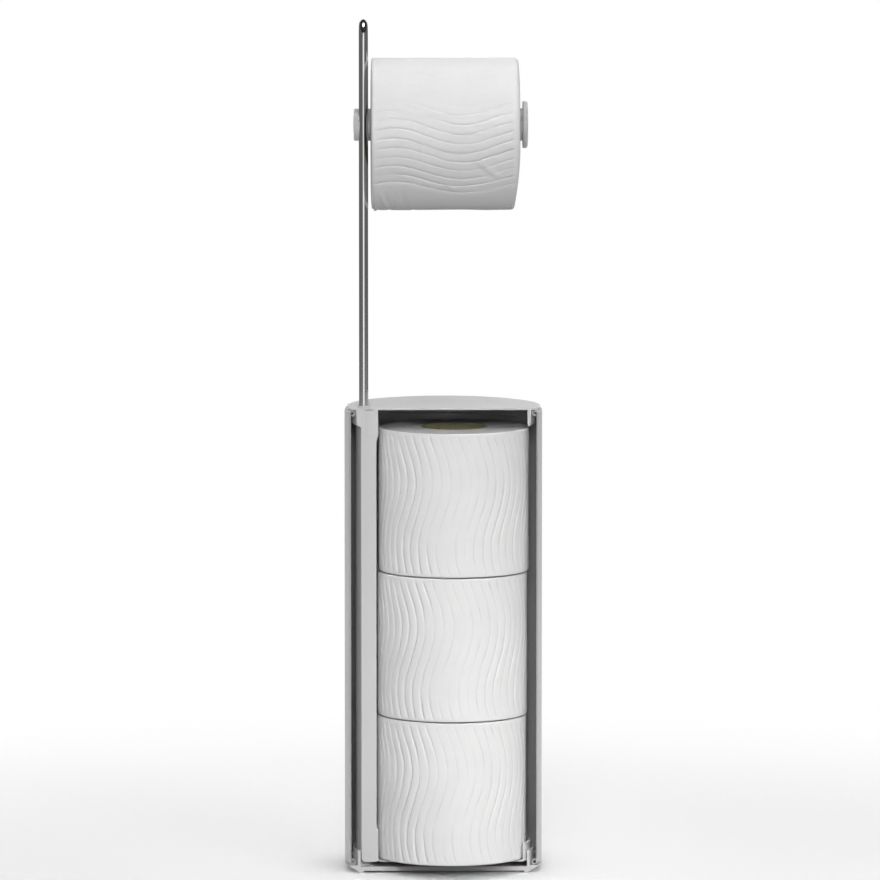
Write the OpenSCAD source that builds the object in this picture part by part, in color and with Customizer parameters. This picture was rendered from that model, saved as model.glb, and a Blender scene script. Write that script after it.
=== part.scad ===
// Toilet roll storage holder: an open steel casing that stores three spare rolls, and a bent wire pole
// that carries the roll in use. The origin is on the floor on the casing's axis, +Z points up, the open
// front faces -Y and the pole stands at -X.

/* [Rolls] */
// Diameter of a spare roll
roll_d = 103.6; // [94:0.2:112]
// Length of a spare roll
roll_h = 99.8; // [90:0.2:110]
// Inner diameter of a cardboard core
core_d = 42.8; // [38:0.2:46]
// Wall of a cardboard core
core_wall = 1; // [0.8:0.1:1.6]
// Diameter of the roll in use
used_roll_d = 104; // [60:0.5:116]
// Length of the roll in use
used_roll_w = 102; // [90:0.5:112]
// Radius of a roll's soft outer edges
roll_edge_r = 1.6; // [0.6:0.1:4]

/* [Casing] */
// Thickness of the sheet steel
shell_t = 1; // [0.6:0.1:1.2]
// Outer diameter of the rolled hem inside the top and bottom edge
hem_d = 4.1; // [3.2:0.1:5]
// Distance from the casing's axis to the plane of its open front
front_setback = 21.3; // [18:0.1:26]

/* [Cradle] */
// Depth of the spine from its round back to its flat inner face
spine_depth = 14.2; // [12.5:0.1:17]
// Wall of the hollow spine
spine_wall = 2; // [1.4:0.1:2.4]
// Thickness of the spine's closed bottom
spine_web_t = 3; // [2:0.1:5]
// Thickness of the tray's floor
tray_floor_t = 1.3; // [1:0.1:2.2]
// Thickness of the tray's upstand
tray_wall = 1.8; // [1.2:0.1:2.6]
// Height of the tray's upstand above the tray's floor
tray_rim_h = 12.5; // [8:0.5:18]
// Room between a spare roll and the tray's upstand
tray_room = 1.7; // [1:0.1:4]

/* [Base] */
// Height of the foot ring below the base's floor
foot_h = 1.3; // [0.8:0.1:3]
// Width of the foot ring
foot_w = 2.9; // [2:0.1:5]
// Thickness of the base's floor
base_floor_t = 3; // [2:0.1:4.5]
// Thickness of the base's rim
base_rim_t = 1.7; // [1.2:0.1:2.6]
// Height of the base's rim above its floor
base_rim_h = 11.7; // [8:0.1:16]
// Height of the tray above the base's floor
tray_lift = 3.3; // [2.4:0.1:6]

/* [Cap] */
// Thickness of the cap's plate
cap_t = 1.2; // [1:0.1:2.4]
// How far the cap's edge lies inside the casing's outer surface
cap_inset = 1.1; // [0.4:0.1:2]
// Depth of the skirt inside the casing
skirt_h = 11; // [7:0.1:13]
// Thickness of the skirt at its root
skirt_t = 2.6; // [2.2:0.1:3]
// Height of the head that covers the top of the spine
head_h = 18.8; // [15:0.1:24]
// Height of the raised collar round the pole
collar_h = 0.9; // [0.6:0.1:3]

/* [Pole] */
// Diameter of the wire
wire_d = 6.5; // [5.6:0.1:7.2]
// Distance between the centres of the two legs
leg_pitch = 19.5; // [17:0.1:22]
// Distance from the spine's flat face to the centres of the legs
leg_inset = 8.6; // [8:0.1:9.2]
// Height of the pole above the cap
pole_h = 267.4; // [220:0.2:340]

/* [Spindle] */
// Distance from the top of the pole down to the spindle's axis
spindle_drop = 73.1; // [66:0.1:90]
// Diameter of the clamp boss and of the spindle's necks
boss_d = 22.3; // [21:0.1:25]
// Diameter of the spindle inside the core
barrel_d = 30; // [26:0.2:32]
// Diameter of the stop at the spindle's end
end_disc_d = 32.5; // [30:0.1:36]
// Thickness of the stop at the spindle's end
end_disc_t = 3.8; // [3.6:0.1:5]
// Height of the stop's domed face
end_dome = 0.5; // [0.3:0.1:1]
// Thickness of the clamp outside the wire
clamp_outer_t = 3.45; // [3:0.05:5]
// Thickness of the clamp between the wire and the roll
clamp_inner_t = 1.65; // [1.2:0.05:3]

/* [Hidden] */
$fn = 96;

// Colours
steel_grey = [0.62, 0.63, 0.64];
plastic_grey = [0.80, 0.80, 0.79];
chrome_grey = [0.72, 0.73, 0.75];
zinc_grey = [0.60, 0.61, 0.63];
tissue_white = [0.94, 0.94, 0.93];
card_brown = [0.62, 0.55, 0.40];

// Overrun of every cut
over = 1;

// Clearances
roll_gap = 0.3;
roll_side_gap = 0.4;
nest_gap = 0.4;
spine_rim_gap = 0.7;
hem_seat_gap = 0.3;
rim_hem_gap = 1.2;
skirt_hem_gap = 0.3;
head_gap = 0.05;
leg_clear = 0.2;
grip_clear = 0.05;
thread_clear = 0.05;
hole_clear = 0.15;
plug_clear = 0.1;
hang_gap = 0.3;
end_gap = 0.3;
core_fit = 0.1;

// Radii in plan, worked out from the roll outwards
base_rim_in_r = (spine_rim_gap + spine_depth + roll_side_gap + roll_d + tray_room + tray_wall + nest_gap) / 2;
spine_r = base_rim_in_r - spine_rim_gap;
base_rim_r = base_rim_in_r + base_rim_t;
casing_r = base_rim_r + rim_hem_gap + hem_d;
cap_r = casing_r - cap_inset;
skirt_r = casing_r - hem_d - skirt_hem_gap;
skirt_in_r = skirt_r - skirt_t;
spine_face_x = spine_depth - spine_r;
tray_x = spine_face_x + roll_side_gap + roll_d / 2;
tray_in_r = roll_d / 2 + tray_room;
tray_r = tray_in_r + tray_wall;
reach = casing_r + over;

// Heights
base_floor_z = foot_h + base_floor_t;
base_rim_top_z = base_floor_z + base_rim_h;
tray_under_z = base_floor_z + tray_lift;
tray_top_z = tray_under_z + tray_floor_t;
tray_rim_top_z = tray_top_z + tray_rim_h;
leg_end_z = tray_under_z + spine_web_t;
stack_top_z = tray_top_z + 3 * (roll_gap + roll_h);
lift_spare = 0.7;
cap_under_z = stack_top_z + tray_rim_h + lift_spare;
cap_top_z = cap_under_z + cap_t;
skirt_bottom_z = cap_under_z - skirt_h;
head_bottom_z = cap_under_z - head_h;
spine_top_z = head_bottom_z - head_gap;
pole_top_z = cap_top_z + pole_h;
spindle_z = pole_top_z - spindle_drop;

// Casing: its edges lie between the base's flange and the cap
flange_lift = 0.9;
flange_top_z = base_floor_z + flange_lift;
casing_bottom_z = flange_top_z + hem_seat_gap;
casing_top_z = cap_under_z - hem_seat_gap;
hem_bottom_z = casing_bottom_z + hem_d / 2;
hem_top_z = casing_top_z - hem_d / 2;
hem_slit = 0.25;

// Spare rolls: the stack leans a little away from the spine
middle_shift = 0.5;
top_shift = 1.5;
top_roll_x = tray_x + top_shift;

// Cradle details
tray_corner_r = 2.2;
tray_inner_corner_r = 0.9;
spine_corner_r = 2.5;
toe_t = 1.2;
toe_h = 20.6;
toe_top_z = tray_top_z + toe_h;
toe_slope_h = 2.5;

// Base details
flange_tip_t = 0.6;
foot_bevel = 1.1;
post_d = 9;
post_circle_r = 38;
post_angles = [5, 60, 115];
screw_boss_d = 12;

// Cap details
cap_edge_r = 0.9;
skirt_draft = 0.5;
skirt_inner_draft = 0.2;
head_flange_t = 1.3;
head_flange_drop = 4.2;
head_flange_slope_h = 6;
head_step_z = skirt_bottom_z - 1.4;
slot_w = 5.8;
slot_h = 0.9;
slot_depth = 1.6;
slot_drop = 0.8;
slot_side = 3.5;
groove_w = 1.2;
groove_depth = 0.4;
groove_side = 8.3;
collar_wall = 1;
collar_edge_r = 0.5;

// Snap beads under the hems
bead_proud = 0.5;
bead_h = 1.4;
bead_gap = 0.3;
bead_arc = 16;
bead_angles = [20, 90, 160];

// Pole: the legs hold the screws that come up through the base
leg_x = spine_face_x - leg_inset;
bend_r = leg_pitch / 2;
bend_z = pole_top_z - bend_r - wire_d / 2;
leg_tube_wall = 1.6;
leg_web_t = 2;
screw_d = 4;
screw_bite = 12;
screw_head_d = 7.4;
screw_head_h = 2.3;
screw_socket_d = 3;
screw_socket_h = 1.3;
washer_d = 8;
washer_t = 0.8;
screw_recess = 0.2;
screw_washer_z = foot_h + screw_recess + screw_head_h;

// Clamp and spindle, along X
clamp_gap = 0.4;
clamp_left_x = leg_x - wire_d / 2 - clamp_outer_t;
clamp_right_x = leg_x + wire_d / 2 + clamp_inner_t;
clamp_edge_r = 1.2;
cover_d = 15;
cover_t = 1.3;
cover_dome = 0.3;
bolt_d = 5;
bolt_head_d = 8.6;
bolt_head_h = 2.3;
bolt_socket_d = 3.5;
bolt_socket_h = 1.4;
bolt_washer_d = 9.6;
bolt_washer_t = 0.6;
bolt_well_d = 10.2;
nut_across = 8;
nut_t = 2.6;
spigot_d = 17.6;
spigot_l = 4;
neck_l = 2.4;
barrel_slope_l = 1.4;
barrel_end_wall = 6;
disc_gap = 2.5;
disc_edge_r = 1.2;
disc_back_edge_r = 0.5;
used_roll_x = clamp_right_x + end_gap;
disc_x = used_roll_x + used_roll_w + disc_gap;
bolt_head_x = clamp_left_x + cover_t + plug_clear;
bolt_washer_x = bolt_head_x + bolt_head_h;
barrel_l = disc_x - clamp_right_x;
used_axis_z = spindle_z - (core_d - barrel_d) / 2 + hang_gap;

// Keeps what lies behind the plane of the open front
module behind_front() {
    intersection() {
        children();
        translate([-reach, -front_setback, -over]) cube([2 * reach, reach + front_setback, pole_top_z]);
    }
}

// Waste outside a quarter round of radius r, whose centre is the origin
module corner_waste(r) {
    difference() {
        square([r + over, r + over]);
        circle(r = r);
    }
}

// Copies its children to both legs of the pole
module each_leg() {
    for (side = [-1, 1]) translate([leg_x, side * leg_pitch / 2, 0]) children();
}

// Turns a revolve so that its axis lies on the spindle's and starts at x
module on_spindle(x, z = spindle_z) {
    translate([x, 0, z]) rotate([0, 90, 0]) children();
}

// Rolled edge of the sheet: the end of the curl stops a slit short of the wall
module rolled_hem() {
    difference() {
        circle(d = hem_d);
        circle(d = hem_d - 2 * shell_t);
        translate([hem_d / 2 - shell_t - hem_slit, -hem_d]) square([hem_d, hem_d]);
    }
}

module casing_section() {
    translate([casing_r - shell_t, hem_bottom_z]) square([shell_t, hem_top_z - hem_bottom_z]);
    translate([casing_r - hem_d / 2, hem_top_z]) rolled_hem();
    translate([casing_r - hem_d / 2, hem_bottom_z]) mirror([0, 1]) rolled_hem();
}

module casing_shell() {
    color(steel_grey) behind_front() rotate_extrude() casing_section();
}

// One row of snap beads: wedges on a cylinder of radius r, flat on the side that faces the hem
module snap_beads(r, z, up) {
    for (a = bead_angles) rotate([0, 0, a - bead_arc / 2]) rotate_extrude(angle = bead_arc)
        polygon([[r - over, z], [r + bead_proud, z], [r - over, z + up * (bead_h + over)]]);
}

module cap_section() {
    tip_r = (skirt_t - skirt_draft - skirt_inner_draft) / 2;
    difference() {
        translate([0, cap_under_z]) square([cap_r, cap_t]);
        translate([cap_r - cap_edge_r, cap_top_z - cap_edge_r]) corner_waste(cap_edge_r);
    }
    polygon([
        [skirt_in_r, cap_under_z + cap_t / 2],
        [skirt_r, cap_under_z + cap_t / 2],
        [skirt_r - skirt_draft, skirt_bottom_z + tip_r],
        [skirt_in_r + skirt_inner_draft, skirt_bottom_z + tip_r]
    ]);
    translate([skirt_r - skirt_draft - tip_r, skirt_bottom_z + tip_r]) circle(r = tip_r);
}

// Plan of the column at the left: the part of a disc that lies beyond the flat face
module column_plan(r, face_x) {
    intersection() {
        circle(r = r);
        translate([-reach, -front_setback]) square([reach + face_x, 2 * front_setback]);
    }
}

// Hollows of the column, which leave its walls, a tube round each leg and the web that holds the tube
module hollow_plan() {
    difference() {
        intersection() {
            circle(r = spine_r - spine_wall);
            translate([-reach, spine_wall - front_setback])
                square([reach + spine_face_x - spine_wall, 2 * (front_setback - spine_wall)]);
        }
        each_leg() {
            circle(r = wire_d / 2 + leg_clear + leg_tube_wall);
            translate([0, -leg_web_t / 2]) square([leg_inset, leg_web_t]);
        }
    }
}

module leg_bores(z, h) {
    each_leg() translate([0, 0, z]) cylinder(r = wire_d / 2 + leg_clear, h = h);
}

// Flat face of the head, which hangs a little in front of the spine's top
module head_flange() {
    flange_z = head_bottom_z - head_flange_drop;
    translate([0, front_setback, 0]) rotate([90, 0, 0]) linear_extrude(2 * front_setback) polygon([
        [spine_face_x + head_gap, cap_under_z + cap_t / 2],
        [spine_face_x + head_flange_t, cap_under_z + cap_t / 2],
        [spine_face_x + head_flange_t, flange_z + head_flange_slope_h],
        [spine_face_x + head_gap, flange_z]
    ]);
}

// Widened top of the head, on a sloped shoulder, which fills the skirt's corner with the column
module head_shoulder(face_x) {
    r = skirt_in_r + skirt_t / 2;
    intersection() {
        rotate_extrude() polygon([
            [0, head_step_z],
            [spine_r, head_step_z],
            [r, head_step_z + r - spine_r],
            [r, cap_under_z + cap_t / 2],
            [0, cap_under_z + cap_t / 2]
        ]);
        translate([0, 0, head_step_z - over]) linear_extrude(head_h) column_plan(reach, face_x);
    }
}

module collar() {
    r = wire_d / 2 + leg_clear + collar_wall;
    section_h = collar_h + cap_t / 2;
    translate([0, 0, cap_top_z - cap_t / 2]) {
        each_leg() rotate_extrude() difference() {
            square([r, section_h]);
            translate([r - collar_edge_r, section_h - collar_edge_r]) corner_waste(collar_edge_r);
        }
        translate([leg_x, leg_pitch / 2, 0]) rotate([90, 0, 0]) linear_extrude(leg_pitch) difference() {
            translate([-r, 0]) square([2 * r, section_h]);
            for (side = [0, 1]) mirror([side, 0])
                translate([r - collar_edge_r, section_h - collar_edge_r]) corner_waste(collar_edge_r);
        }
    }
}

module top_cap() {
    head_face_x = spine_face_x + head_flange_t;
    color(plastic_grey) difference() {
        union() {
            behind_front() rotate_extrude() cap_section();
            translate([0, 0, head_bottom_z]) linear_extrude(head_h + cap_t / 2)
                column_plan(spine_r, head_face_x);
            head_shoulder(head_face_x);
            head_flange();
            collar();
            snap_beads(skirt_r - skirt_draft, hem_top_z - hem_d / 2 - bead_gap, -1);
        }
        translate([0, 0, head_bottom_z - over]) linear_extrude(head_h + over) hollow_plan();
        leg_bores(head_bottom_z - over, head_h + cap_t + collar_h + 2 * over);
        translate([top_roll_x, 0, head_bottom_z - head_flange_drop - over])
            cylinder(r = roll_d / 2 + roll_side_gap, h = head_h + head_flange_drop + over);
        translate([head_face_x - slot_side - slot_w, -front_setback - over, cap_top_z - slot_drop - slot_h])
            cube([slot_w, slot_depth + over, slot_h]);
        translate([head_face_x - groove_side - groove_w, -front_setback - over, head_bottom_z - over])
            cube([groove_w, groove_depth + over, head_h - skirt_t + over]);
    }
}

module tray_section() {
    h = tray_rim_top_z - tray_under_z;
    difference() {
        square([tray_r, h]);
        translate([0, tray_floor_t]) difference() {
            square([tray_in_r, h]);
            translate([tray_in_r - tray_inner_corner_r, tray_inner_corner_r]) mirror([0, 1])
                corner_waste(tray_inner_corner_r);
        }
        translate([tray_r - tray_corner_r, tray_corner_r]) mirror([0, 1]) corner_waste(tray_corner_r);
        translate([tray_in_r, h - tray_wall / 2]) square([tray_wall + over, tray_wall]);
    }
    translate([tray_in_r + tray_wall / 2, h - tray_wall / 2]) circle(d = tray_wall);
}

// Spine before it is hollowed: a round back and a rounded lower edge
module spine_block() {
    h = spine_top_z - tray_under_z;
    intersection() {
        translate([0, 0, tray_under_z]) rotate_extrude() difference() {
            square([spine_r, h]);
            translate([spine_r - spine_corner_r, spine_corner_r]) mirror([0, 1]) corner_waste(spine_corner_r);
        }
        translate([-reach, -front_setback, tray_under_z - over])
            cube([reach + spine_face_x, 2 * front_setback, h + 2 * over]);
    }
}

// Thickened foot of the spine's flat face, hollowed to let the bottom roll in
module spine_toe() {
    difference() {
        translate([0, front_setback, 0]) rotate([90, 0, 0]) linear_extrude(2 * front_setback) polygon([
            [spine_face_x - spine_wall / 2, tray_under_z + tray_floor_t / 2],
            [spine_face_x + toe_t, tray_under_z + tray_floor_t / 2],
            [spine_face_x + toe_t, toe_top_z],
            [spine_face_x, toe_top_z + toe_slope_h],
            [spine_face_x - spine_wall / 2, toe_top_z + toe_slope_h]
        ]);
        translate([tray_x, 0, tray_top_z]) cylinder(r = roll_d / 2 + roll_side_gap, h = toe_top_z);
    }
}

module roll_cradle() {
    toe_face_x = spine_face_x + toe_t;
    color(plastic_grey) difference() {
        union() {
            spine_block();
            behind_front() translate([tray_x, 0, tray_under_z]) rotate_extrude() tray_section();
            spine_toe();
        }
        translate([0, 0, leg_end_z]) linear_extrude(spine_top_z) hollow_plan();
        leg_bores(leg_end_z, spine_top_z);
        // The upstand stops behind the toe's flat face
        translate([toe_face_x, -front_setback - over, tray_top_z])
            cube([tray_wall + over, front_setback + over, tray_rim_h + over]);
        each_leg() translate([0, 0, tray_under_z - over])
            cylinder(r = screw_d / 2 + hole_clear, h = spine_web_t + 2 * over);
    }
}

module base_section() {
    foot_in_r = base_rim_in_r + foot_bevel - foot_w;
    translate([0, foot_h]) square([base_rim_in_r + base_rim_t / 2, base_floor_t]);
    translate([base_rim_in_r, foot_h]) square([base_rim_t, base_rim_top_z - foot_h - base_rim_t / 2]);
    translate([base_rim_in_r + base_rim_t / 2, base_rim_top_z - base_rim_t / 2]) circle(d = base_rim_t);
    polygon([
        [foot_in_r, 0],
        [foot_in_r + foot_w - foot_bevel / 2, 0],
        [base_rim_r, foot_bevel],
        [casing_r - flange_tip_t, flange_top_z - 2 * flange_tip_t],
        [casing_r, flange_top_z - flange_tip_t],
        [casing_r, flange_top_z],
        [base_rim_in_r + base_rim_t / 2, flange_top_z],
        [foot_in_r, foot_h + base_floor_t / 2]
    ]);
}

module base() {
    color(plastic_grey) difference() {
        union() {
            behind_front() rotate_extrude() base_section();
            each_leg() translate([0, 0, foot_h]) cylinder(d = screw_boss_d, h = tray_under_z - foot_h);
            for (a = post_angles) translate([tray_x, 0, foot_h]) rotate([0, 0, a])
                translate([post_circle_r, 0, 0]) cylinder(d = post_d, h = tray_under_z - foot_h);
            snap_beads(base_rim_r, hem_bottom_z + hem_d / 2 + bead_gap, 1);
        }
        each_leg() {
            translate([0, 0, foot_h - over])
                cylinder(r = washer_d / 2 + hole_clear, h = screw_washer_z + washer_t - foot_h + over);
            translate([0, 0, foot_h]) cylinder(r = screw_d / 2 + hole_clear, h = tray_under_z);
        }
    }
}

module hairpin_pole() {
    color(chrome_grey) difference() {
        union() {
            each_leg() translate([0, 0, leg_end_z]) cylinder(d = wire_d, h = bend_z - leg_end_z);
            translate([leg_x, 0, bend_z]) rotate([90, 0, 90]) rotate_extrude(angle = 180)
                translate([bend_r, 0]) circle(d = wire_d);
        }
        each_leg() translate([0, 0, leg_end_z - over])
            cylinder(r = screw_d / 2 + thread_clear, h = screw_bite + 2 * over);
    }
}

// Screw with a round head and a hex socket, pointing up from the origin
module socket_screw(d, l, head_d, head_h, socket_d, socket_h) {
    difference() {
        union() {
            cylinder(d = head_d, h = head_h);
            cylinder(d = d, h = head_h + l);
        }
        translate([0, 0, -over]) cylinder(d = socket_d, h = socket_h + over, $fn = 6);
    }
}

module pole_screws() {
    l = leg_end_z + screw_bite - screw_washer_z;
    color(zinc_grey) each_leg() translate([0, 0, screw_washer_z - screw_head_h])
        socket_screw(screw_d, l, screw_head_d, screw_head_h, screw_socket_d, screw_socket_h);
}

module ring(outer_d, inner_d, t) {
    difference() {
        cylinder(d = outer_d, h = t);
        translate([0, 0, -over]) cylinder(d = inner_d, h = t + 2 * over);
    }
}

module pole_washers() {
    color(zinc_grey) each_leg() translate([0, 0, screw_washer_z])
        ring(washer_d, screw_d + 2 * hole_clear, washer_t);
}

module clamp_outer() {
    l = leg_x - clamp_gap / 2 - clamp_left_x;
    color(plastic_grey) difference() {
        on_spindle(clamp_left_x) rotate_extrude() difference() {
            square([boss_d / 2, l]);
            translate([boss_d / 2 - clamp_edge_r, clamp_edge_r]) mirror([0, 1]) corner_waste(clamp_edge_r);
        }
        on_spindle(clamp_left_x - over) cylinder(d = cover_d + 2 * plug_clear, h = cover_t + plug_clear + over);
        on_spindle(clamp_left_x) cylinder(d = bolt_well_d, h = bolt_washer_x + bolt_washer_t - clamp_left_x);
        on_spindle(clamp_left_x) cylinder(r = bolt_d / 2 + hole_clear, h = l + over);
        each_leg() translate([0, 0, spindle_z - boss_d]) cylinder(r = wire_d / 2 + grip_clear, h = 2 * boss_d);
    }
}

module clamp_inner() {
    x = leg_x + clamp_gap / 2;
    l = clamp_right_x - x;
    color(plastic_grey) difference() {
        union() {
            on_spindle(x) cylinder(d = boss_d, h = l);
            on_spindle(x) cylinder(d = spigot_d, h = l + spigot_l);
        }
        on_spindle(x - over) cylinder(r = bolt_d / 2 + hole_clear, h = l + spigot_l + 2 * over);
        each_leg() translate([0, 0, spindle_z - boss_d]) cylinder(r = wire_d / 2 + grip_clear, h = 2 * boss_d);
    }
}

// Disc with a slightly domed face at its far end
module domed_disc(d, t, dome, edge_r, back_edge_r) {
    dome_r = (d * d / 4 + dome * dome) / (2 * dome);
    rotate_extrude() difference() {
        intersection() {
            square([d / 2, t + dome]);
            translate([0, t + dome - dome_r]) circle(r = dome_r, $fn = 1440);
        }
        translate([d / 2 - edge_r, t - edge_r]) corner_waste(edge_r);
        translate([d / 2 - back_edge_r, back_edge_r]) mirror([0, 1]) corner_waste(back_edge_r);
    }
}

module clamp_cover() {
    color(plastic_grey) translate([clamp_left_x + cover_t, 0, spindle_z]) rotate([0, -90, 0])
        domed_disc(cover_d, cover_t, cover_dome, cover_dome, cover_dome);
}

module spindle_barrel() {
    thick_l = barrel_l - disc_gap - 2 * neck_l - 2 * barrel_slope_l - end_gap;
    color(plastic_grey) difference() {
        union() {
            on_spindle(clamp_right_x) cylinder(d = boss_d, h = barrel_l);
            on_spindle(clamp_right_x + neck_l) cylinder(d1 = boss_d, d2 = barrel_d, h = barrel_slope_l);
            on_spindle(clamp_right_x + neck_l + barrel_slope_l) cylinder(d = barrel_d, h = thick_l);
            on_spindle(clamp_right_x + neck_l + barrel_slope_l + thick_l)
                cylinder(d1 = barrel_d, d2 = boss_d, h = barrel_slope_l);
        }
        on_spindle(clamp_right_x - over)
            cylinder(d = spigot_d + 2 * plug_clear, h = barrel_l - barrel_end_wall + over);
        on_spindle(clamp_right_x) cylinder(r = bolt_d / 2 + hole_clear, h = barrel_l + over);
    }
}

module end_disc() {
    color(plastic_grey) difference() {
        on_spindle(disc_x) domed_disc(end_disc_d, end_disc_t - end_dome, end_dome, disc_edge_r, disc_back_edge_r);
        on_spindle(disc_x - over)
            cylinder(r = (nut_across / 2 + plug_clear) / cos(30), h = nut_t + plug_clear + over, $fn = 6);
    }
}

module spindle_bolt() {
    color(zinc_grey) on_spindle(bolt_head_x)
        socket_screw(bolt_d, disc_x + nut_t - bolt_washer_x, bolt_head_d, bolt_head_h, bolt_socket_d, bolt_socket_h);
}

module bolt_washer() {
    color(zinc_grey) on_spindle(bolt_washer_x) ring(bolt_washer_d, bolt_d + 2 * hole_clear, bolt_washer_t);
}

module disc_nut() {
    color(zinc_grey) on_spindle(disc_x) difference() {
        cylinder(r = nut_across / 2 / cos(30), h = nut_t, $fn = 6);
        translate([0, 0, -over]) cylinder(r = bolt_d / 2 + thread_clear, h = nut_t + 2 * over);
    }
}

// Wound paper of a roll, standing on the origin
module paper(d, l) {
    r = d / 2;
    color(tissue_white) rotate_extrude() difference() {
        translate([core_d / 2 + core_wall + core_fit, 0]) square([r - core_d / 2 - core_wall - core_fit, l]);
        translate([r - roll_edge_r, l - roll_edge_r]) corner_waste(roll_edge_r);
        translate([r - roll_edge_r, roll_edge_r]) mirror([0, 1]) corner_waste(roll_edge_r);
    }
}

module core(l) {
    color(card_brown) ring(core_d + 2 * core_wall, core_d, l);
}

// Place of a spare roll, counted from the bottom of the stack
module stacked(place, shift) {
    translate([tray_x + shift, 0, tray_top_z + roll_gap + place * (roll_h + roll_gap)]) children();
}

module used_paper() {
    on_spindle(used_roll_x, used_axis_z) paper(used_roll_d, used_roll_w);
}

module used_core() {
    on_spindle(used_roll_x, used_axis_z) core(used_roll_w);
}

module top_paper() {
    stacked(2, top_shift) paper(roll_d, roll_h);
}

module top_core() {
    stacked(2, top_shift) core(roll_h);
}

module middle_paper() {
    stacked(1, middle_shift) paper(roll_d, roll_h);
}

module middle_core() {
    stacked(1, middle_shift) core(roll_h);
}

module bottom_paper() {
    stacked(0, 0) paper(roll_d, roll_h);
}

module bottom_core() {
    stacked(0, 0) core(roll_h);
}

casing_shell();
top_cap();
roll_cradle();
base();
hairpin_pole();
pole_screws();
pole_washers();
clamp_outer();
clamp_inner();
clamp_cover();
spindle_barrel();
end_disc();
spindle_bolt();
bolt_washer();
disc_nut();
used_paper();
used_core();
top_paper();
top_core();
middle_paper();
middle_core();
bottom_paper();
bottom_core();
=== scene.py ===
"""Looks of the toilet roll storage holder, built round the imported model. Lengths are in metres."""

import math

import bpy
import numpy as np
from mathutils import Matrix, Vector, noise

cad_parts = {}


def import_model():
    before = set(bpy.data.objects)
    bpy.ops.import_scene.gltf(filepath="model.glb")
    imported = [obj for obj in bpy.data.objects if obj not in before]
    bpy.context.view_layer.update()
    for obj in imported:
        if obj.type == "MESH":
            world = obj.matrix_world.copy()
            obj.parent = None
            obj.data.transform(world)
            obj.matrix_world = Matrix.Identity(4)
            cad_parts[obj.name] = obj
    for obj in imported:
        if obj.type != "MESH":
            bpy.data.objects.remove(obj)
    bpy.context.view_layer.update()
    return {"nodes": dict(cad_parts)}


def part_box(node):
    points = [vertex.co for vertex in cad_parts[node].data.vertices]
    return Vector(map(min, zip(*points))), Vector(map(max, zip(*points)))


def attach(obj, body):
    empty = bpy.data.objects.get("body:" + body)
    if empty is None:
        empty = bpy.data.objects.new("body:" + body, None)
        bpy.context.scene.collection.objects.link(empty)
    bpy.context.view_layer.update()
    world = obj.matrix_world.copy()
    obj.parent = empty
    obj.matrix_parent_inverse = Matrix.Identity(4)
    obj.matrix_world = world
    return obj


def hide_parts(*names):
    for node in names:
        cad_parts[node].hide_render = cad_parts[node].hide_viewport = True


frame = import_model()
nodes = frame["nodes"]

MM = 0.001

# Camera: offset to the side, distance, height, turn to the left, downward tilt and lens
CAMERA_SIDE = -0.0023
CAMERA_DISTANCE = 5.32
CAMERA_HEIGHT = 0.867
CAMERA_TURN = math.radians(0.8)
CAMERA_PITCH = math.radians(6.09)
CAMERA_LENS = 316.3
SENSOR_WIDTH = 36.0
CAMERA_CLIP = (0.1, 60.0)

# Embossed lines: their pitch round a roll, the length and swing of their wave, and the depth below
# the roll's far end at which the wave crests
LINE_PITCH = 6.6 * MM
WAVE_LENGTH = 92 * MM
WAVE_SWING = 5.3 * MM
WAVE_CREST = 35 * MM
USED_WAVE_CREST = 40 * MM
# Places across one line pitch, and the surface's height there
GROOVE_SHARES = (0.0, 0.045, 0.10, 0.16, 0.28, 0.5, 0.72, 0.84, 0.90, 0.955)
GROOVE_HEIGHTS = tuple(
    height * MM for height in (-0.62, -0.42, -0.16, 0.0, 0.07, 0.09, 0.07, 0.0, -0.16, -0.42))
# How far from a roll's edge a line reaches its full depth, and the share of its wander at the edge
GROOVE_FADE = 2.5 * MM
END_WANDER = 0.3
# Noise along a line: the size, the number a metre and the place in the noise of each of its waves.
# The first moves the line sideways, and the second is added to its mean strength
LINE_WANDER = ((0.7 * MM, 28, 0.5), (0.42 * MM, 140, 4.5))
LINE_STRENGTH = 0.9
LINE_UNEVEN = ((1.1, 60, 9.5),)
# Step in the noise from one line to the next
LINE_STEP = 0.9

# Strength of the lines on a spare roll: in front, and what each side adds to that. A side grows and
# then fades between distances round the roll from the front
SPARE_FRONT, SPARE_LEFT, SPARE_RIGHT = 0.42, 1.3, 0.42
SPARE_GROWS = (8 * MM, 34 * MM)
SPARE_FADES = (100 * MM, 155 * MM)
# The same on the roll in use: above, what is added from there down, and where the lines stop under
# its loose end
USED_ABOVE, USED_BELOW = 0.12, 0.66
USED_GROWS = (-30 * MM, 8 * MM)
USED_STOPS = (42 * MM, 46 * MM)

# Mesh of a roll: rows up its side, rings on its ends, steps round its edges, and its core's radius
SIDE_ROWS = 64
END_RINGS = 12
EDGE_STEPS = 4
CORE_RADIUS = 22.5 * MM
# Unevenness of the ends' rings, and the shape of their bulge
RING_UNEVEN = 0.12 * MM
BULGE_POWER = 0.7
# Dents of a roll's side: their depth, and for each noise its share, its size round the roll and its
# number a metre along it
DENT = 0.22 * MM
DENT_WAVES = ((1.0, 2.2, 30), (0.5, 9, 90))

# Spare rolls: which, how far each is turned and its noise's seed. Then their edges' radii and their
# ends' bulges, far end first, and the rows of each edge that take the ends' layers and painted shade
SPARES = (
    ("bottom", math.radians(3), 3.7),
    ("middle", math.radians(44), 8.7),
    ("top", math.radians(85), 13.7),
)
SPARE_EDGES = (0.9 * MM, 0.6 * MM)
SPARE_BULGES = (0.3 * MM, 0.2 * MM)
SPARE_RIM = 2

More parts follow.
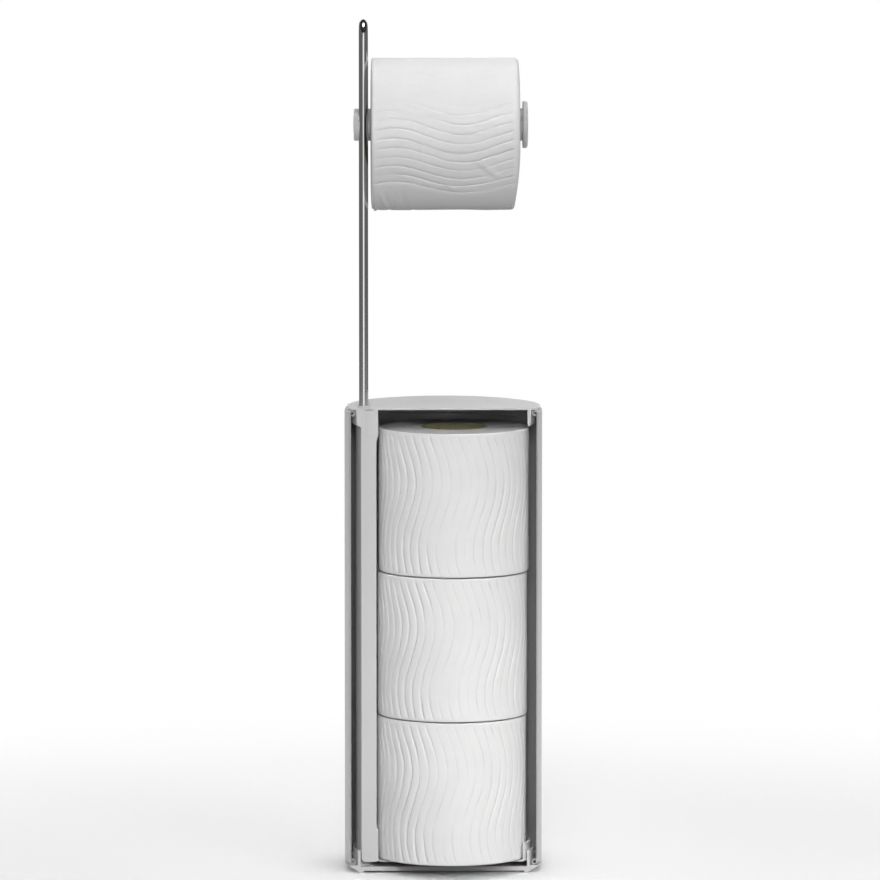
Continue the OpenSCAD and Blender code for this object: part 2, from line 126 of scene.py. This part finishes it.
# Roll in use: its seed, edges and bulges, and the angle about its own axis that faces the front
USED_SEED = 21.3
USED_EDGES = (3.0 * MM, 1.4 * MM)
USED_BULGES = (0.6 * MM, 0.4 * MM)
USED_FRONT = math.radians(-92)
# How far its far end draws in below, between which distances round it, and how steeply along it
USED_LEAN = 2.4 * MM
LEAN_GROWS = (12 * MM, 70 * MM)
LEAN_FADES = (95 * MM, 155 * MM)
LEAN_POWER = 4

# Creases in millimetres: from and to, each as a place along the roll and one round it up from the
# front, then width and height. A crease keeps a share of its height at its ends
USED_CREASES = (
    (72.5, -16, 90.5, -30.5, 2.0, 0.65),
    (70.5, -18, 88, -33, 0.9, -0.5),
    (49.5, -35, 55.5, -42, 0.8, -0.5),
    (52, -35, 58, -41, 1.2, 0.5),
    (34.7, -1, 34, -14, 1.3, 0.35),
    (64, 6, 78, 2, 1.6, 0.35),
    (18, 20, 34, 16, 2.2, 0.35),
)
LOOSE_CREASES = (
    (6.0, -43, 11.5, -68, 1.0, 0.9),
    (9.5, -44, 14.5, -66, 0.9, -0.5),
    (18.5, -42, 18.0, -70, 1.1, 0.7),
    (21.0, -44, 26.0, -72, 1.4, -0.35),
)
CREASE_REACH = 3
CREASE_END_SHARE = 0.4

# Loose end of the sheet on the roll in use: the embossed line that it starts in, where it ends
# round the roll, its distances from the roll's near and far end, its thickness, flat size and mesh
LOOSE_LINE = 43
LOOSE_END = -79 * MM
LOOSE_INSETS = (1.9 * MM, 0.6 * MM)
LOOSE_THICK = 0.16 * MM
LOOSE_COLUMNS = 150
LOOSE_ROWS = 26
# It starts sunk in its line, rises out of it over a share of its length, and curls up near its end
LOOSE_SUNK = -0.30 * MM
LOOSE_RISE = 0.53 * MM
LOOSE_RISE_SHARE = 0.06
LOOSE_CURL_FROM = 0.55
# Torn edge in millimetres: places along the roll, and how far the edge stands off the roll and back
# there. The fray is finer than that
TORN = (
    (0.0, 1.1, 5), (1.6, 1.2, 6), (2.8, 0.1, -6), (4.0, 0.5, 2), (8.5, 0.6, 3), (10.5, 0.1, -4),
    (13.0, 0.6, 3), (24.5, 0.7, 3), (27.0, 0.2, -3), (30.0, 0.5, 2), (60.0, 0.2, 2), (80.0, 0.6, 3),
    (102.0, 0.2, 3),
)
FRAY = 0.5 * MM
FRAY_WAVES = 900

# Y in front of which the casing's cut edge is painted a darker grey without grain, as painted shade:
# its cut edge lies 21.3 mm before the axis
CUT_EDGE = -21.2 * MM

# Strength of the world as light. The camera and gloss see it as plain white
AMBIENT = 0.49

# Floor: its half width, its tone for light and for the camera, and the radii between which the
# camera's share of plain white grows, first round the foot and then further out
FLOOR_HALF = 9.0
FLOOR_TONE = 0.3
FLOOR_SEEN_TONE = 0.93
FOOT_RADII = (0.05, 0.12)
FOOT_SHARE = 0.45
FAR_RADII = (0.22, 0.80)

# Dark studio panels on a dome: azimuths from the camera's side towards +X, elevations, tone
DOME_CENTRE_Z = 0.3
DOME_RADIUS = 3.0
PANELS = (
    ((-150, -16), (-5.73, 36), 0.13),
    ((19, 150), (-5.73, 36), 0.13),
    ((-180, 180), (36, 72), 0.03),
)
PANEL_STEPS = (48, 8)
PANEL_LOWEST = 0.005

# Lamps: name, place, target, size, power, spread in degrees, and whether gloss shows them
LAMPS = (
    ("top_light", (0.3, -0.6, 3.6), (0, 0, 0.3), (2.2, 2.0), 32, 180, True),
    ("upper_light", (0.1, -2.9, 1.2), (0, -0.05, 0.50), (0.5, 0.25), 0.19, 12, False),
    ("spare_light", (-0.1, -2.1, 1.07), (0.01, -0.03, 0.13), (0.4, 0.25), 0.20, 16, False),
    ("right_light", (1.2, -1.85, 0.95), (0.0, -0.03, 0.03), (0.3, 0.3), 0.07, 16, False),
    ("foot_light", (1.3, -1.8, 0.75), (0.03, -0.03, 0.03), (0.3, 0.2), 0.03, 10, True),
    ("back_light", (-0.9, 2.8, 0.75), (0, 0, 0.35), (1.6, 0.8), 14, 180, False),
    ("side_card", (0.42, -0.12, 0.09), (0.05, -0.03, 0.08), (0.30, 0.14), 0.09, 180, True),
)

# CAD nodes that keep their shape, with the material of each
FINISHES = {
    "brushed_steel": ("casing_shell",),
    "moulded_plastic": ("top_cap", "roll_cradle", "base"),
    "chrome": ("hairpin_pole",),
    "gloss_plastic": ("clamp_outer", "clamp_inner", "clamp_cover", "spindle_barrel", "end_disc"),
    "zinc": ("pole_screws", "pole_washers", "spindle_bolt", "bolt_washer", "disc_nut"),
    "core_card": ("used_core", "top_core", "middle_core", "bottom_core"),
}


def camera():
    data = bpy.data.cameras.new("camera")
    data.lens = CAMERA_LENS
    data.sensor_width = SENSOR_WIDTH
    data.clip_start, data.clip_end = CAMERA_CLIP
    cam = bpy.data.objects.new("camera", data)
    turn = Matrix.Rotation(-CAMERA_TURN, 4, "Z")
    cam.location = turn @ Vector((CAMERA_SIDE, -CAMERA_DISTANCE, CAMERA_HEIGHT))
    cam.rotation_euler = (math.pi / 2 - CAMERA_PITCH, 0, -CAMERA_TURN)
    bpy.context.scene.collection.objects.link(cam)
    bpy.context.scene.camera = cam


def softbox(name, place, target, size, power, spread, highlights):
    """A rectangular lamp that faces its target and that the camera doesn't see."""
    data = bpy.data.lights.new(name, "AREA")
    data.spread = math.radians(spread)
    data.shape = "RECTANGLE"
    data.size, data.size_y = size
    data.energy = power
    lamp = bpy.data.objects.new(name, data)
    lamp.location = place
    lamp.visible_glossy = highlights
    lamp.visible_camera = False
    lamp.rotation_mode = "QUATERNION"
    lamp.rotation_quaternion = (Vector(target) - Vector(place)).to_track_quat("-Z", "Y")
    bpy.context.scene.collection.objects.link(lamp)


def mesh_object(name, verts, faces):
    mesh = bpy.data.meshes.new(name)
    mesh.from_pydata([tuple(v) for v in verts], [], faces)
    mesh.update()
    obj = bpy.data.objects.new(name, mesh)
    bpy.context.scene.collection.objects.link(obj)
    return obj


class Nodes:
    """A material's or world's node tree, with short calls to add and link nodes."""

    def __init__(self, owner):
        owner.use_nodes = True
        self.tree = owner.node_tree
        self.tree.nodes.clear()

    def set(self, socket, value):
        """Links a socket to another, or gives it a plain value."""
        if isinstance(value, bpy.types.NodeSocket):
            self.tree.links.new(value, socket)
        else:
            socket.default_value = value

    def add(self, kind, inputs=(), **settings):
        node = self.tree.nodes.new("ShaderNode" + kind)
        for key, value in settings.items():
            setattr(node, key, value)
        for key, value in dict(inputs).items():
            self.set(node.inputs[key], value)
        return node

    def math(self, operation, a, b=0.0):
        return self.add("Math", {0: a, 1: b}, operation=operation).outputs[0]

    def object_place(self):
        return self.add("TexCoord").outputs["Object"]

    def stretched(self, scale):
        """Object coordinates, stretched by a scale for each axis, in features a metre."""
        return self.add("Mapping", {"Vector": self.object_place(), "Scale": scale}).outputs[0]

    def noise(self, scale, detail=3.0, rough=0.5):
        """Noise over the object, with a number of features a metre on each axis."""
        return self.noise_at(self.stretched(scale), detail, rough)

    def noise_at(self, vector, detail=3.0, rough=0.5):
        inputs = {"Vector": vector, "Scale": 1.0, "Detail": detail, "Roughness": rough}
        return self.add("TexNoise", inputs).outputs["Fac"]

    def remap(self, value, low, high, span=(0.3, 0.7), **settings):
        """Turns a value in a span, here that of most noise, into one from low to high."""
        inputs = {"Value": value, "From Min": span[0], "From Max": span[1],
                  "To Min": low, "To Max": high}
        return self.add("MapRange", inputs, **settings).outputs["Result"]

    def blend(self, factor, a, b):
        node = self.add("Mix", data_type="RGBA")
        for index, value in ((0, factor), (6, a), (7, b)):
            self.set(node.inputs[index], value)
        return node.outputs[2]

    def bump(self, height, depth, edge=0.0):
        """Bump of a height from 0 to 1, scaled to a depth in metres, over edges of a radius."""
        inputs = {"Height": height, "Distance": depth, "Strength": 1.0}
        if edge:
            inputs["Normal"] = self.add("Bevel", {"Radius": edge}, samples=6).outputs[0]
        return self.add("Bump", inputs).outputs[0]

    def shown(self):
        """1 for the rays of the camera, gloss and transmission, and 0 for those of light."""
        path = self.add("LightPath").outputs
        gloss = self.math("MAXIMUM", path["Is Glossy Ray"], path["Is Transmission Ray"])
        return self.math("MAXIMUM", path["Is Camera Ray"], gloss)


def grey(value, warm=0.0):
    return (value * (1 + warm), value, value * (1 - warm), 1.0)


def principled(name, constants=()):
    """A new material, its nodes and its Principled shader with constant inputs."""
    material = bpy.data.materials.new(name)
    n = Nodes(material)
    shader = n.add("BsdfPrincipled", constants)
    n.add("OutputMaterial", {"Surface": shader.outputs[0]})
    return material, n, shader


def feed(n, shader, **sockets):
    for name, value in sockets.items():
        n.set(shader.inputs[name.replace("_", " ")], value)


def brushed_steel():
    """Satin stainless sheet with its grain along Z, and painted shade on its cut front edge: a
    darker grey without grain.
    """
    constants = {"Metallic": 0.25, "Specular IOR Level": 0.5}
    material, n, shader = principled("brushed_steel", constants)
    grain = n.noise((2600, 2600, 14), detail=4.0)
    bands = n.noise((90, 90, 1.5), detail=2.0)
    smudge = n.noise((16, 16, 11), detail=4.0)
    tone = n.blend(n.remap(bands, 0.0, 1.0), grey(0.72, -0.004), grey(0.80, -0.003))
    tone = n.blend(n.remap(grain, 0.0, 0.35), tone, grey(0.64))
    split = n.add("SeparateXYZ", {"Vector": n.object_place()})
    # Painted shade: in front of CUT_EDGE the cut edge blends to a darker grey and loses its grain
    # bump
    shaded_cut_edge = n.math("LESS_THAN", split.outputs["Y"], CUT_EDGE)
    tone = n.blend(shaded_cut_edge, tone, grey(0.42))
    height = n.math("MULTIPLY", grain, n.math("SUBTRACT", 1.0, shaded_cut_edge))
    rough = n.math("ADD", n.remap(grain, 0.38, 0.48), n.remap(smudge, -0.02, 0.05))
    normal = n.bump(height, 0.03 * MM, 0.15 * MM)
    feed(n, shader, Base_Color=tone, Roughness=rough, Normal=normal)
    return material


def moulded_plastic():
    """Pale grey moulded plastic with a fine spark-eroded grain."""
    material, n, shader = principled("moulded_plastic", {"IOR": 1.5, "Specular IOR Level": 0.6})
    grain = n.noise((3800,) * 3, detail=2.0)
    flow = n.noise((24, 24, 9))
    tone = n.blend(n.remap(flow, 0.0, 1.0), grey(0.66, 0.004), grey(0.70, 0.004))
    rough = n.math("ADD", n.remap(grain, 0.34, 0.44), n.remap(flow, -0.03, 0.03))
    normal = n.bump(grain, 0.010 * MM, 0.25 * MM)
    feed(n, shader, Base_Color=tone, Roughness=rough, Normal=normal)
    return material


def gloss_plastic():
    """Pale grey glossy plastic of the clamp, spindle and end disc."""
    material, n, shader = principled("gloss_plastic", {"IOR": 1.5, "Specular IOR Level": 0.5})
    flow = n.noise((60,) * 3, detail=2.0)
    grain = n.noise((2400,) * 3, detail=2.0)
    tone = n.blend(n.remap(flow, 0.0, 1.0), grey(0.66), grey(0.72))
    rough = n.math("ADD", n.remap(grain, 0.20, 0.27), n.remap(flow, -0.02, 0.02))
    normal = n.bump(grain, 0.004 * MM, 0.3 * MM)
    feed(n, shader, Base_Color=tone, Roughness=rough, Normal=normal)
    return material


def chrome():
    """Bright chrome on drawn wire, with very faint draw lines in its gloss."""
    material, n, shader = principled("chrome", {"Metallic": 1.0})
    drawn = n.noise((1500, 1500, 10), detail=2.0)
    haze = n.noise((60, 60, 18))
    tone = n.blend(n.remap(haze, 0.0, 1.0), grey(0.78, -0.008), grey(0.84, -0.006))
    rough = n.math("ADD", n.remap(haze, 0.045, 0.075), n.remap(drawn, 0.0, 0.015))
    feed(n, shader, Base_Color=tone, Roughness=rough)
    return material


def zinc():
    """Zinc-plated screws, washers and nut."""
    material, n, shader = principled("zinc", {"Metallic": 1.0})
    spangle = n.noise((900,) * 3, detail=4.0)
    tone = n.blend(n.remap(spangle, 0.0, 1.0), grey(0.50, 0.02), grey(0.62))
    rough = n.remap(spangle, 0.28, 0.45)
    feed(n, shader, Base_Color=tone, Roughness=rough, Normal=n.bump(spangle, 0.02 * MM, 0.1 * MM))
    return material


def core_card():
    """Grey-brown cardboard tube, wound in a spiral with a dark seam."""
    constants = {"Roughness": 0.9, "Specular IOR Level": 0.2}
    material, n, shader = principled("core_card", constants)
    fibre = n.noise((900, 900, 260), detail=6.0, rough=0.65)
    cloud = n.noise((45,) * 3, detail=4.0)
    tone = n.blend(n.remap(fibre, 0.0, 1.0), (0.21, 0.20, 0.105, 1), (0.29, 0.28, 0.155, 1))
    tone = n.blend(n.remap(cloud, 0.0, 0.5), tone, (0.24, 0.23, 0.15, 1))
    split = n.add("SeparateXYZ", {"Vector": n.stretched((15.0, 6.0, 20.0))})
    turn = n.math("ADD", n.math("ADD", split.outputs[0], split.outputs[1]), split.outputs[2])
    seam = n.math("LESS_THAN", n.math("FRACT", turn), 0.02)
    tone = n.blend(n.math("MULTIPLY", seam, 0.75), tone, (0.05, 0.045, 0.03, 1))
    feed(n, shader, Base_Color=tone, Normal=n.bump(fibre, 0.06 * MM))
    return material


def tissue():
    """White two-ply tissue: fine fibres, a soft crepe, and painted shade in its embossed lines and
    other hollows.
    """
    constants = {"Roughness": 0.95, "Specular IOR Level": 0.15,
                 "Sheen Weight": 0.25, "Sheen Roughness": 0.6}
    material, n, shader = principled("tissue", constants)
    fibre = n.noise((2600, 2600, 1700), detail=6.0, rough=0.7)
    crepe = n.noise((500, 500, 160))
    cloud = n.noise((60,) * 3)
    tone = n.blend(n.remap(cloud, 0.0, 1.0), grey(0.885, 0.002), grey(0.915, 0.002))
    tone = n.blend(n.remap(fibre, 0.0, 0.3), tone, grey(0.84, 0.004))
    # Painted shade: concave places, the embossed lines' bottoms and the creases' valleys, blend
    # towards dark grey by the mesh's pointiness
    pointed = n.add("NewGeometry").outputs["Pointiness"]
    tone = n.blend(n.remap(pointed, 0.50, 0.0, span=(0.42, 0.492)), tone, grey(0.30))
    height = n.math("ADD", n.math("MULTIPLY", fibre, 0.6), n.math("MULTIPLY", crepe, 0.8))
    feed(n, shader, Base_Color=tone, Normal=n.bump(height, 0.09 * MM))
    return material


def tissue_end():
    """Wound end of a roll: many thin layers, seen as rings about the roll's own Z axis, in a grey
    that is partly painted shade.
    """
    constants = {"Roughness": 0.98, "Specular IOR Level": 0.1}
    material, n, shader = principled("tissue_end", constants)
    split = n.add("SeparateXYZ", {"Vector": n.object_place()})
    x, y = split.outputs["X"], split.outputs["Y"]
    squares = n.math("ADD", n.math("MULTIPLY", x, x), n.math("MULTIPLY", y, y))
    radius = n.math("SQRT", squares)
    wander = n.noise((40,) * 3, detail=2.0)
    ring = n.math("ADD", n.math("MULTIPLY", radius, 1600.0), n.math("MULTIPLY", wander, 3.0))
    rings = n.noise_at(n.add("CombineXYZ", {"X": ring}).outputs[0], rough=0.7)
    fibre = n.noise((1800,) * 3, detail=4.0)
    # The rings' grey is partly the layers' own tone and partly painted shade, darker than the
    # paper's white
    tone = n.blend(n.remap(rings, 0.0, 1.0), grey(0.37, 0.004), grey(0.59, 0.002))
    height = n.math("ADD", rings, n.math("MULTIPLY", fibre, 0.3))
    feed(n, shader, Base_Color=tone, Normal=n.bump(height, 0.25 * MM))
    return material


def wave(depth, crest):
    """Swing of the embossed lines at a depth below the roll's far end."""
    return WAVE_SWING * math.cos(2 * math.pi * (depth - crest) / WAVE_LENGTH)


def line_count(radius):
    return round(2 * math.pi * radius / LINE_PITCH)


def smooth(value, low, high):
    """Smooth step from 0 at low to 1 at high."""
    share = min(1.0, max(0.0, (value - low) / (high - low)))
    return share * share * (3 - 2 * share)


def along_line(waves, line, z):
    """Noise along one embossed line."""
    return sum(size * noise.noise(Vector((line, z * count, at))) for size, count, at in waves)


def swell(c, s, z, seed):
    """Slight unevenness of a wound roll's side."""
    return DENT * sum(share * noise.noise(Vector((c * around, s * around, z * along + seed)))
                      for share, around, along in DENT_WAVES)


def crease_height(creases, along, round_up):
    """Height that a table of creases adds at a place along the roll and round it."""
    along, round_up = along / MM, round_up / MM
    total = 0.0
    for a0, b0, a1, b1, width, height in creases:
        da, db = a1 - a0, b1 - b0
        share = ((along - a0) * da + (round_up - b0) * db) / (da * da + db * db)
        share = min(1.0, max(0.0, share))
        gap = math.hypot(along - a0 - share * da, round_up - b0 - share * db)
        if gap < CREASE_REACH * width:
            middle = (1 - CREASE_END_SHARE) * math.sin(math.pi * share)
            total += height * math.exp(-(gap / width) ** 2) * (CREASE_END_SHARE + middle)
    return total * MM


def used_emboss(round_up):
    """Strength of the lines on the roll in use: handled flat above, none under its loose end."""
    grown = USED_ABOVE + USED_BELOW * smooth(-round_up, *USED_GROWS)
    return grown * (1 - smooth(-round_up, *USED_STOPS))


def spare_emboss(round_up):
    """Strength of the lines on a spare roll: slight in front and behind, deepest on its left."""
    left, right = (smooth(way, *SPARE_GROWS) - smooth(way, *SPARE_FADES)
                   for way in (round_up, -round_up))
    return SPARE_FRONT + SPARE_LEFT * left + SPARE_RIGHT * right


def draw_in(lean, round_up, share):
    """How far a roll's far end draws in below, at a share of its length. It fades out behind."""
    below = smooth(-round_up, *LEAN_GROWS) - smooth(-round_up, *LEAN_FADES)
    return lean * below * share ** LEAN_POWER


def end_face(z, outer, way, bulge):
    """Stations of a wound end, from the core out. Neighbouring rings differ a little."""
    rows = []
    for k in range(END_RINGS):
        share = k / END_RINGS
        rise = bulge * math.sin(math.pi * share) ** BULGE_POWER - bulge
        if k:
            rise += RING_UNEVEN if k % 2 else -RING_UNEVEN
        rows.append((CORE_RADIUS + (outer - CORE_RADIUS) * share, z + way * rise, 0.0))
    return rows


def soft_edge(radius, z, size, way, order):
    """Stations round an edge between a roll's side and its end."""
    rows = []
    for k in order:
        turn = math.pi / 2 * k / EDGE_STEPS
        inward, back = size * (1 - math.cos(turn)), size * (1 - math.sin(turn))
        rows.append((radius - inward, z - way * back, 0.0))
    return rows


def roll_profile(radius, length, edges, bulges):
    """Stations over one end, the side and the other end: radius, height, depth of the lines."""
    top_edge, low_edge = edges
    top_bulge, low_bulge = bulges
    first, last = low_bulge + low_edge, length - top_bulge - top_edge
    side = []
    for k in range(SIDE_ROWS + 1):
        z = first + (last - first) * k / SIDE_ROWS
        side.append((radius, z, min(1.0, min(z - first, last - z) / GROOVE_FADE)))
    return (end_face(0, radius - low_edge, -1, low_bulge)
            + soft_edge(radius, low_bulge, low_edge, -1, range(EDGE_STEPS, 0, -1))
            + side
            + soft_edge(radius, length - top_bulge, top_edge, 1, range(1, EDGE_STEPS + 1))
            + end_face(length, radius - top_edge, 1, top_bulge)[::-1])


def roll_surface(stations, radius, length, seed, front, crest=WAVE_CREST, emboss=spare_emboss,
                 creases=(), lean=0.0):
    """Points of a roll about Z, in rings of columns that follow the embossed lines."""
    lines = line_count(radius)
    columns = [(line + share, height) for line in range(lines)
               for share, height in zip(GROOVE_SHARES, GROOVE_HEIGHTS)]
    points = np.zeros((len(stations), len(columns), 3))
    for row, (r, z, groove) in enumerate(stations):
        shift = wave(length - z, crest) / radius
        outer_share = (r - CORE_RADIUS) / (radius - CORE_RADIUS)
        for col, (at, height) in enumerate(columns):
            line = seed + int(at + 0.5) % lines * LINE_STEP
            wander = along_line(LINE_WANDER, line, z) / radius * min(1.0, groove + END_WANDER)
            angle = 2 * math.pi * at / lines + shift + wander
            c, s = math.cos(angle), math.sin(angle)
            round_up = math.remainder(front - angle, 2 * math.pi) * radius
            strength = LINE_STRENGTH + along_line(LINE_UNEVEN, line, z)
            lift = groove * emboss(round_up) * strength * height
            lift += outer_share * (swell(c, s, z, seed) + crease_height(creases, z, round_up))
            points[row, col] = ((r + lift) * c, (r + lift) * s,
                                z - draw_in(lean, round_up, z / length))
    return points


def spun(points, angle):
    """Points turned about the roll's own axis, so that the object keeps square to the frame."""
    c, s = math.cos(angle), math.sin(angle)
    return points @ np.array(((c, s, 0.0), (-s, c, 0.0), (0.0, 0.0, 1.0)))


def paper_roll(name, body, node, place, spin, radius, length, seed, edges, bulges, rim=0, **shape):
    """One wound roll as a closed mesh, instead of a CAD node. Rim rows of its edges take the ends'
    layers and painted shade.
    """
    stations = roll_profile(radius, length, edges, bulges)
    points = spun(roll_surface(stations, radius, length, seed, **shape), spin)
    rows, cols, _ = points.shape
    faces = []
    for r in range(rows):
        low, high = r * cols, (r + 1) % rows * cols
        for c in range(cols):
            d = (c + 1) % cols
            faces.append((low + c, low + d, high + d, high + c))
    obj = mesh_object(name, points.reshape(-1, 3), faces)
    obj.data.materials.append(MATERIALS["tissue"])
    obj.data.materials.append(MATERIALS["tissue_end"])
    side_from, side_to = END_RINGS - 1 + rim, rows - END_RINGS - rim
    for polygon in obj.data.polygons:
        polygon.material_index = 0 if side_from <= polygon.index // cols < side_to else 1
        polygon.use_smooth = True
    obj.matrix_world = place
    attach(obj, body)
    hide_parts(node)


def sheet_faces(columns, rows):
    """Faces of a thin closed sheet whose two layers are grids of points."""
    across, down = columns + 1, rows + 1
    count = across * down
    faces = []
    for k in range(columns):
        for j in range(rows):
            a, b = k * down + j, (k + 1) * down + j
            faces.append((a, a + 1, b + 1, b))
            faces.append((count + a, count + b, count + b + 1, count + a + 1))
    rim = [k * down for k in range(across)]
    rim += [(across - 1) * down + j for j in range(1, down)]
    rim += [k * down + down - 1 for k in range(across - 2, -1, -1)]
    rim += list(range(down - 2, 0, -1))
    for a, b in zip(rim, rim[1:] + rim[:1]):
        faces.append((a, b, count + b, count + a))
    return faces


def loose_points(radius, length, layer):
    """One layer of the loose end's points, in columns along the roll."""
    edge, bulge = USED_EDGES[0], USED_BULGES[0]
    line_angle = 2 * math.pi * LOOSE_LINE / line_count(radius)
    first, last = LOOSE_INSETS[0], length - bulge - LOOSE_INSETS[1]
    torn_at, torn_stand, torn_back = np.array(TORN).T * MM
    points = []
    for k in range(LOOSE_COLUMNS + 1):
        z = first + (last - first) * k / LOOSE_COLUMNS
        over = max(0.0, z - (length - bulge - edge))
        corner = edge - math.sqrt(max(0.0, edge ** 2 - over ** 2))
        stand = np.interp(z - first, torn_at, torn_stand)
        back = np.interp(z - first, torn_at, torn_back)
        back += FRAY * noise.noise(Vector((z * FRAY_WAVES, USED_SEED, 0)))
        turn = USED_FRONT - line_angle - wave(length - z, USED_WAVE_CREST) / radius
        start = math.remainder(turn, 2 * math.pi) * radius
        end = LOOSE_END - back
        for j in range(LOOSE_ROWS + 1):
            share = j / LOOSE_ROWS
            round_up = start + (end - start) * share
            angle = USED_FRONT - round_up / radius
            c, s = math.cos(angle), math.sin(angle)
            lift = swell(c, s, z, USED_SEED) + crease_height(LOOSE_CREASES, z, round_up)
            lift += LOOSE_SUNK + LOOSE_RISE * smooth(share, 0.0, LOOSE_RISE_SHARE)
            lift += stand * smooth(share, LOOSE_CURL_FROM, 1.0)
            r = radius - corner + lift - layer
            points.append((r * c, r * s, z - draw_in(USED_LEAN, round_up, z / length)))
    return points


def loose_end(place, spin, radius, length):
    """Torn free end of the outer sheet, as a thin piece that starts in an embossed line below."""
    points = [p for layer in (0.0, LOOSE_THICK) for p in loose_points(radius, length, layer)]
    faces = sheet_faces(LOOSE_COLUMNS, LOOSE_ROWS)
    obj = mesh_object("used_roll_loose_end", spun(np.array(points), spin), faces)
    obj.data.materials.append(MATERIALS["tissue"])
    for polygon in obj.data.polygons:
        polygon.use_smooth = True
    obj.matrix_world = place
    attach(obj, "used_roll")


def spare_rolls():
    """The three spare rolls, each in the place of its CAD solid."""
    for which, spin, seed in SPARES:
        low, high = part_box(f"{which}_paper")
        centre = (low + high) / 2
        place = Matrix.Translation((centre.x, centre.y, low.z))
        radius, length = (high.x - low.x) / 2, high.z - low.z
        paper_roll(f"{which}_roll_paper", f"{which}_roll", f"{which}_paper", place, spin, radius,
                   length, seed, SPARE_EDGES, SPARE_BULGES, SPARE_RIM, front=-math.pi / 2 - spin)


def used_roll():
    """The roll in use in the place of its CAD solid, with its axis along X, and its loose end."""
    low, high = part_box("used_paper")
    centre = (low + high) / 2
    place = Matrix.Translation((low.x, centre.y, centre.z)) @ Matrix.Rotation(math.pi / 2, 4, "Y")
    spin = -math.pi / 2 - USED_FRONT
    radius, length = (high.z - low.z) / 2, high.x - low.x
    paper_roll("used_roll_paper", "used_roll", "used_paper", place, spin, radius, length, USED_SEED,
               USED_EDGES, USED_BULGES, front=USED_FRONT, crest=USED_WAVE_CREST,
               emboss=used_emboss, creases=USED_CREASES, lean=USED_LEAN)
    loose_end(place, spin, radius, length)


def dress():
    """Gives each CAD node that stays its material."""
    for finish, names in FINISHES.items():
        for name in names:
            slots = nodes[name].data.materials
            slots.clear()
            slots.append(MATERIALS[finish])


def world():
    """White to the camera and in gloss, and weaker as light."""
    made = bpy.data.worlds.new("studio")
    bpy.context.scene.world = made
    n = Nodes(made)
    strength = n.remap(n.shown(), AMBIENT, 1.0, span=(0.0, 1.0))
    background = n.add("Background", {"Color": grey(1.0), "Strength": strength})
    n.add("OutputWorld", {"Surface": background.outputs[0]})


def floor():
    """White floor that keeps the object's soft shadow."""
    h = FLOOR_HALF
    obj = mesh_object("floor", [(-h, -h, 0), (h, -h, 0), (h, h, 0), (-h, h, 0)], [(0, 1, 2, 3)])
    material = bpy.data.materials.new("floor")
    n = Nodes(material)
    radius = n.add("VectorMath", {0: n.object_place()}, operation="LENGTH").outputs["Value"]
    near = n.remap(radius, 0.0, FOOT_SHARE, FOOT_RADII, interpolation_type="SMOOTHSTEP")
    far = n.remap(radius, 0.0, 1.0 - FOOT_SHARE, FAR_RADII, interpolation_type="SMOOTHSTEP")
    plain = n.add("BsdfDiffuse", {"Color": grey(FLOOR_TONE)}).outputs[0]
    shaded = n.add("BsdfDiffuse", {"Color": grey(FLOOR_SEEN_TONE)}).outputs[0]
    white = n.add("Emission", {"Strength": 1.0}).outputs[0]
    seen = n.add("MixShader", {0: n.math("ADD", near, far), 1: shaded, 2: white}).outputs[0]
    mixed = n.add("MixShader", {0: n.shown(), 1: plain, 2: seen}).outputs[0]
    n.add("OutputMaterial", {"Surface": mixed})
    obj.data.materials.append(material)


def dome_grid(azimuths, elevations):
    """Points and faces of one panel on the dome."""
    across, up = PANEL_STEPS
    verts, faces = [], []
    for k in range(across + 1):
        a = math.radians(azimuths[0] + (azimuths[1] - azimuths[0]) * k / across)
        for j in range(up + 1):
            e = math.radians(elevations[0] + (elevations[1] - elevations[0]) * j / up)
            out, height = DOME_RADIUS * math.cos(e), DOME_CENTRE_Z + DOME_RADIUS * math.sin(e)
            verts.append((out * math.sin(a), -out * math.cos(a), max(PANEL_LOWEST, height)))
            if k and j:
                at = k * (up + 1) + j
                faces.append((at, at - 1, at - up - 2, at - up - 1))
    return verts, faces


def dark_panels():
    """Panels that only gloss and metal see, so that the chrome has its dark sides."""
    for index, (azimuths, elevations, tone) in enumerate(PANELS):
        material = bpy.data.materials.new(f"panel_{index}")
        n = Nodes(material)
        shade = n.add("Emission", {"Color": grey(tone), "Strength": 1.0})
        n.add("OutputMaterial", {"Surface": shade.outputs[0]})
        obj = mesh_object(f"panel_{index}", *dome_grid(azimuths, elevations))
        obj.data.materials.append(material)
        obj.visible_camera = False
        obj.visible_diffuse = False
        obj.visible_transmission = False
        obj.visible_volume_scatter = False
        obj.visible_shadow = False


MATERIALS = {make.__name__: make() for make in (
    brushed_steel, moulded_plastic, gloss_plastic, chrome, zinc, core_card, tissue, tissue_end)}

camera()
world()
floor()
dark_panels()
for lamp in LAMPS:
    softbox(*lamp)
dress()
spare_rolls()
used_roll()

bpy.context.scene.view_settings.view_transform = "Standard"
